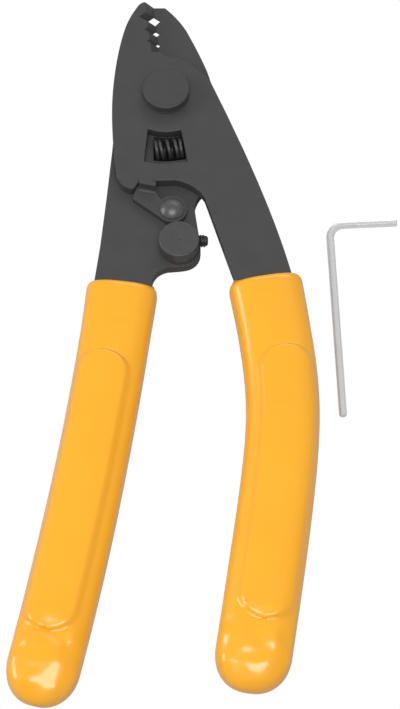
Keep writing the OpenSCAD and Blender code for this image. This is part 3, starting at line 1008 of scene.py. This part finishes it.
@dataclass
class Grip:
    """A dipped vinyl grip with a raised pad on each face.

    Args:
        side: the handle that it sits on.
        width: without its rounding at the mouth.
        mouth_y: Y of the mouth.
        thickness: without its pads.
        rim: rounding of the mouth.
        neck: how much narrower it is below the mouth.
        tail: length of the rounded end.
        pad_h: height of the pads.
        pad_half: half of a pad's width.
        pad_shift: how far the pad sits towards the outer side.
        pad_from: distance from the mouth to the pad.
        pad_to: distance from the pad to the grip's end.
        pad_edge: width of the pad's soft edge.
        crumple: height of the uneven places on the closed end.
        slot_w: half width of the mouth's slot.
        slot_t: half thickness of that slot.
        around: points of a ring.
    """

    side: Side
    width: float
    mouth_y: float = -46.0 * MM
    thickness: float = 9.6 * MM
    rim: float = 1.4 * MM
    neck: float = 0.3 * MM
    tail: float = 8.6 * MM
    pad_h: float = 0.8 * MM
    pad_half: float = 5.9 * MM
    pad_shift: float = 1.25 * MM
    pad_from: float = 17.0 * MM
    pad_to: float = 14.5 * MM
    pad_edge: float = 1.7 * MM
    crumple: float = 0.55 * MM
    slot_w: float = 6.4 * MM
    slot_t: float = 1.5 * MM
    around: int = 176

    def centre(self, y: float) -> float:
        """Gives the X of the grip's centre line.

        Args:
            y: place along the handle, in metres.

        Returns:
            X in metres.
        """
        v = y / MM
        if self.side is Side.LEFT:
            return (-15.7 + 0.176 * (v + 91) - 0.00063 * (v + 91) ** 2) * MM
        reach = math.hypot(v + 74, 15.8) - 15.8
        return (24.46 - 0.022 * (v + 74) - 0.174 * reach) * MM

    def lift(self, s: float, u: float, v: float, half_t: float, length: float) -> float:
        """Gives how far the pads, the folds and the dimples raise the surface.

        Args:
            s: distance from the mouth.
            u: distance across, towards +X.
            v: height above the grip's middle.
            half_t: half thickness there.
            length: the grip's length.

        Returns:
            Height in metres, away from the middle.
        """
        out = u * self.side.value
        facing = ease(abs(v) / half_t * 2.0 - 0.6)
        end = min(s - self.pad_from, length - self.pad_to - s)
        arch = max(0.0, min(1.0, max(0.0, end) / (5.2 * MM)))
        half = self.pad_half * math.sqrt(max(0.0, 1 - (1 - arch) ** 2.2))
        inside = half - abs(out - self.pad_shift)
        pad = self.pad_h * ease(inside / self.pad_edge + 0.35) if end > 0 else 0.0
        # the vinyl sags in below the pad and folds round the dip
        dip_s = length - self.pad_to + 0.2 * MM
        dip = math.hypot((s - dip_s) / (2.9 * MM), (out - 0.6 * MM) / (3.3 * MM))
        fold = (hump((dip - 1.35) / 0.5) * 0.12 - hump(dip / 0.9) * 0.34) * MM
        # the closed end is slightly crumpled
        place = Vector((out / (4.2 * MM), s / (3.4 * MM), 3.0 + self.side.value))
        crumple = noise.noise(place) * self.crumple * ease((s - length + 19 * MM) / (7 * MM))
        return (pad + fold + crumple) * facing

    def ring(self, s: float, top: float, length: float, middle: float) -> list[Point]:
        """Gives one ring of the outer skin.

        Args:
            s: distance from the mouth.
            top: Y of the mouth.
            length: the grip's length.
            middle: height of the grip's middle plane.

        Returns:
            The ring's points.
        """
        y = top - s
        slope = self.centre(y - 0.5 * MM) - self.centre(y + 0.5 * MM)
        lean = math.atan(slope / MM)
        inset = 0.0 if s >= self.rim else 1 - math.sqrt(1 - (1 - s / self.rim) ** 2)
        past = max(0.0, (s - length + self.tail) / self.tail)
        share = max(0.0, 1 - min(1.0, past) ** 2.15) ** (1 / 2.15)
        waist = self.neck / 2 * ease(s / (12 * MM)) * ease((70 * MM - s) / (40 * MM))
        half_w = (self.width / 2 - waist - 0.5 * MM * inset) * share
        half_t = (self.thickness / 2 - 0.9 * MM * inset) * share
        ring = []
        for j in range(self.around):
            a = 2 * math.pi * (j + 0.5) / self.around
            c, d = math.cos(a), math.sin(a)
            u = half_w * math.copysign(abs(c) ** (2 / 2.7), c)
            v = half_t * math.copysign(abs(d) ** (2 / 2.7), d)
            if half_t > 0.1 * MM:
                v += self.lift(s, u, v, half_t, length) * math.copysign(share, d)
            ring.append((self.centre(y) + u * math.cos(lean), y + u * math.sin(lean),
                         middle + v))
        return ring

    def slot_ring(self, s: float, top: float, middle: float, grow: float) -> list[Point]:
        """Gives one ring of the slot that the tang goes into.

        Args:
            s: distance from the mouth.
            top: Y of the mouth.
            middle: height of the grip's middle plane.
            grow: how far the ring stands off the slot's wall.

        Returns:
            The ring's points.
        """
        y = top - s
        ring = []
        for j in range(self.around):
            a = 2 * math.pi * (j + 0.5) / self.around
            c, d = math.cos(a), math.sin(a)
            u = (self.slot_w + grow) * math.copysign(abs(c) ** (2 / 6), c)
            v = (self.slot_t + grow) * math.copysign(abs(d) ** (2 / 6), d)
            ring.append((self.centre(y) + u, y, middle + v))
        return ring

    def build(self, vinyl: bpy.types.Material, mouth: bpy.types.Material) -> None:
        """Builds the grip.

        Args:
            vinyl: finish of the skin.
            mouth: finish inside the slot, darker than the skin as painted shade of the recess.
        """
        node = "left_grip" if self.side is Side.LEFT else "right_grip"
        plate = "rear_plate" if self.side is Side.LEFT else "front_plate"
        body = "rear_half" if self.side is Side.LEFT else "front_half"
        low = corners(node)[0]
        plate_low, plate_high = corners(plate)
        middle = (plate_low.z + plate_high.z) / 2
        top = self.mouth_y
        length = top - low.y
        rings = [self.slot_ring(s, top, middle, g) for s, g in (
            (8.0 * MM, 0.0), (2.0 * MM, 0.0), (0.5 * MM, 0.0), (0.15 * MM, 0.1 * MM),
            (0.0, 0.35 * MM))]
        stops = [self.rim * (1 - math.cos(math.pi / 2 * i / 8)) for i in range(9)]
        stops += [self.rim + (length - self.tail - self.rim) * i / 250
                  for i in range(1, 251)]
        stops += [length - self.tail * (1 - math.sin(math.pi / 2 * i / 40))
                  for i in range(1, 40)]
        rings += [self.ring(s, top, length, middle) for s in stops]
        mesh = skin(rings, node + "_moulded")
        mesh.materials.append(vinyl)
        mesh.materials.append(mouth)
        # faces inside the slot get the dark brown painted shade
        for face in mesh.polygons:
            inside = face.center.y < top - 0.3 * MM and abs(
                face.center.z - middle) < self.slot_t * 1.05 and abs(
                face.center.x - self.centre(face.center.y)) < self.slot_w * 1.02
            if inside and face.center.y > top - 9.0 * MM:
                face.material_index = 1
        finish_piece(mesh, node + "_moulded", body, node, angle=60.0)


@dataclass
class HexKey:
    """The loose bent key.

    Args:
        flats: distance across the flats.
        long_arm: length of the long arm.
        short_arm: length of the short arm.
        bend: radius of the bend's centre line.
        corner: rounding of the six corners.
        chamfer: chamfer of the ends.
        turn: turn on the table, in degrees.
        corner_at: X and Y of the bend's outer corner.
    """

    flats: float = 1.5 * MM
    long_arm: float = 45.8 * MM
    short_arm: float = 14.5 * MM
    bend: float = 3.0 * MM
    corner: float = 0.12 * MM
    chamfer: float = 0.2 * MM
    turn: float = 2.8
    corner_at: tuple[float, float] = (34.1 * MM, -26.85 * MM)

    def section(self) -> list[tuple[float, float]]:
        """Gives the hexagon with rounded corners.

        Returns:
            Points across the key.
        """
        points = []
        reach = self.flats / 2 / math.cos(math.pi / 6)
        for k in range(6):
            a = math.pi / 3 * k
            tip = Vector((reach * math.cos(a), reach * math.sin(a)))
            for turn in (-1, 1):
                b = a + turn * math.pi / 3
                other = Vector((reach * math.cos(b), reach * math.sin(b)))
                points.append(tuple(tip + (other - tip).normalized() * self.corner))
            outer = tip * (1 - 0.28 * self.corner / reach)
            points.insert(-1, tuple(outer))
        return points

    def build(self) -> None:
        """Sweeps the section along the key's centre line."""
        low, high = corners("hex_key")
        outline = self.section()
        reach = self.flats / 2 / math.cos(math.pi / 6)
        line = [(0.0, -self.long_arm, 90.0, 0.8), (0.0, self.chamfer - self.long_arm, 90.0, 1.0)]
        line += [(0.0, -self.long_arm * k / 8, 90.0, 1.0) for k in range(7, 1, -1)]
        line += [(self.bend * (1 - math.cos(math.radians(a))),
                  self.bend * (math.sin(math.radians(a)) - 1), 90.0 - a, 1.0)
                 for a in range(0, 95, 5)]
        line += [(self.short_arm - self.chamfer, 0.0, 0.0, 1.0),
                 (self.short_arm, 0.0, 0.0, 0.8)]
        rings = []
        for x, y, heading, share in line:
            h = math.radians(heading)
            rings.append([(x - u * share * math.sin(h), y + u * share * math.cos(h),
                           v * share) for u, v in outline])
        mesh = skin(rings, "hex_key_bent")
        place = Matrix.Translation((*self.corner_at, (low.z + high.z) / 2))
        mesh.transform(place @ Matrix.Rotation(math.radians(self.turn), 4, "Z")
                       @ Matrix.Translation((reach, -reach, 0.0)))
        mesh.materials.append(ZINC_PLATE.build())
        finish_piece(mesh, "hex_key_bent", "key", "hex_key", angle=25.0)


# -------------------------------------------------------------------- studio


@dataclass
class Studio:
    """Table, soft lights and camera.

    Args:
        target: the point that the camera looks at, in metres.
        elevation: height of the camera above the table, in degrees.
        distance: distance of the camera.
        lens: focal length in millimetres on a 36 mm sensor.
        sky: strength of the even light from all round.
        glow: brightness of the table as the camera sees it.
        shade_at: X and Y of the middle of the painted shadow on the table under the spring's
            window.
        shade_radius: radius of the full painted shadow.
        shade_edge: width of its soft edge.
    """

    target: Point = (7.318 * MM, -62.09 * MM, 4.0 * MM)
    elevation: float = 62.0
    distance: float = 0.9
    lens: float = 218.6
    sky: float = 0.42
    glow: float = 1.0
    shade_at: tuple[float, float] = (0.5 * MM, -9.5 * MM)
    shade_radius: float = 4.6 * MM
    shade_edge: float = 1.6 * MM

    def build(self, floor_z: float) -> None:
        """Builds the studio.

        Args:
            floor_z: height of the table.
        """
        self.build_table(floor_z)
        self.build_sky()
        self.build_camera()
        self.add_panel("overhead_panel", (0.02, -0.36, 0.86), (0.62, 0.46), 6.0)
        self.add_panel("left_panel", (-0.85, 0.05, 0.42), (0.5, 0.3), 6.0)
        self.add_panel("back_panel", (0.25, 0.95, 0.75), (0.9, 0.3), 2.5)

    def build_table(self, floor_z: float) -> None:
        """Builds the table top.

        Args:
            floor_z: its height.
        """
        half, deep = 1.5, 0.02
        work = bmesh.new()
        bmesh.ops.create_grid(work, x_segments=24, y_segments=24, size=half)
        bmesh.ops.translate(work, verts=work.verts, vec=(0.0, 0.0, floor_z))
        skirt = [e for e in work.edges if e.is_boundary]
        made = bmesh.ops.extrude_edge_only(work, edges=skirt)
        lowered = [g for g in made["geom"] if isinstance(g, bmesh.types.BMVert)]
        bmesh.ops.translate(work, verts=lowered, vec=(0.0, 0.0, -deep))
        mesh = bpy.data.meshes.new("table_top")
        work.to_mesh(mesh)
        work.free()
        paint = TABLE_PAINT.build()
        sheet = Sheet(paint.node_tree)
        nodes = {node.type: node for node in paint.node_tree.nodes}
        glow = sheet.add("ShaderNodeEmission", {"Color": (1.0, 1.0, 1.0, 1.0),
                                                "Strength": self.glow})
        # painted shadow: under the spring's window the table is coloured near black and loses
        # its glow to the camera, standing for the tool's shadow there
        coords = sheet.add("ShaderNodeTexCoord").outputs["Object"]
        away = sheet.add("ShaderNodeVectorMath", {0: coords, 1: (*self.shade_at, floor_z)},
                         operation="DISTANCE").outputs["Value"]
        outside_painted_shadow = sheet.math("MULTIPLY_ADD", away, 1.0 / self.shade_edge,
                         -self.shade_radius / self.shade_edge, clamp=True)
        painted_shadow_colour = sheet.blend(outside_painted_shadow, (0.02, 0.02, 0.02), (0.49, 0.49, 0.49))
        sheet.tree.links.new(painted_shadow_colour, nodes["BSDF_PRINCIPLED"].inputs["Base Color"])
        seen = sheet.math("MULTIPLY", outside_painted_shadow, sheet.add("ShaderNodeLightPath").outputs[
            "Is Camera Ray"])
        mixed = sheet.add("ShaderNodeMixShader", {
            0: seen, 1: nodes["BSDF_PRINCIPLED"].outputs[0], 2: glow.outputs[0]})
        sheet.tree.links.new(mixed.outputs[0], nodes["OUTPUT_MATERIAL"].inputs["Surface"])
        mesh.materials.append(paint)
        table = bpy.data.objects.new("table_top", mesh)
        bpy.context.scene.collection.objects.link(table)
        table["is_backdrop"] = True

    def build_sky(self) -> None:
        """Sets the even light from all round."""
        world = bpy.data.worlds.new("soft_sky")
        world.use_nodes = True
        ground = world.node_tree.nodes["Background"]
        ground.inputs["Color"].default_value = (1.0, 1.0, 1.0, 1.0)
        ground.inputs["Strength"].default_value = self.sky
        bpy.context.scene.world = world

    def add_panel(self, name: str, place: Point, size: tuple[float, float],
                  radiance: float) -> None:
        """Adds a rectangular soft light aimed at the tool.

        Args:
            name: the light's name.
            place: its place in metres.
            size: its width and height in metres.
            radiance: how bright its face is.
        """
        light = bpy.data.lights.new(name, "AREA")
        light.shape = "RECTANGLE"
        light.size, light.size_y = size
        light.energy = radiance * size[0] * size[1] * math.pi
        lamp = bpy.data.objects.new(name, light)
        lamp.location = place
        aim = Vector(self.target) - Vector(place)
        lamp.rotation_euler = aim.to_track_quat("-Z", "Y").to_euler()
        bpy.context.scene.collection.objects.link(lamp)

    def build_camera(self) -> None:
        """Places the camera in front of the tool, looking down on it."""
        data = bpy.data.cameras.new("bench_camera")
        data.lens = self.lens
        data.sensor_width = 36.0
        data.clip_start, data.clip_end = 0.01, 20.0
        camera = bpy.data.objects.new("bench_camera", data)
        rise = math.radians(self.elevation)
        camera.location = (self.target[0], self.target[1] - self.distance * math.cos(rise),
                           self.target[2] + self.distance * math.sin(rise))
        camera.rotation_euler = (math.pi / 2 - rise, 0.0, 0.0)
        bpy.context.scene.collection.objects.link(camera)
        bpy.context.scene.camera = camera


def dress_tool(frame: dict) -> None:
    """Builds every piece of the tool in order.

    Args:
        frame: the loaded frame.
    """
    Jaws().build(frame)
    PivotRivet().build()
    ReturnSpring().build()
    Latch().build(frame)
    ClosingStop().build(frame)
    vinyl, mouth = GRIP_VINYL.build(), GRIP_MOUTH_PAINTED_SHADE.build()
    Grip(Side.LEFT, 15.0 * MM).build(vinyl, mouth)
    Grip(Side.RIGHT, 15.6 * MM).build(vinyl, mouth)
    HexKey().build()


def main() -> None:
    """Loads the frame, dresses the tool, and sets up the studio."""
    logging.basicConfig(level=logging.INFO, format="%(name)s: %(message)s")
    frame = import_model()
    cad_box = [list(corner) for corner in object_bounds()]
    dress_tool(frame)
    Studio().build(cad_box[0][2])
    bpy.context.scene.view_settings.view_transform = "Standard"


if __name__ == "__main__":
    main()
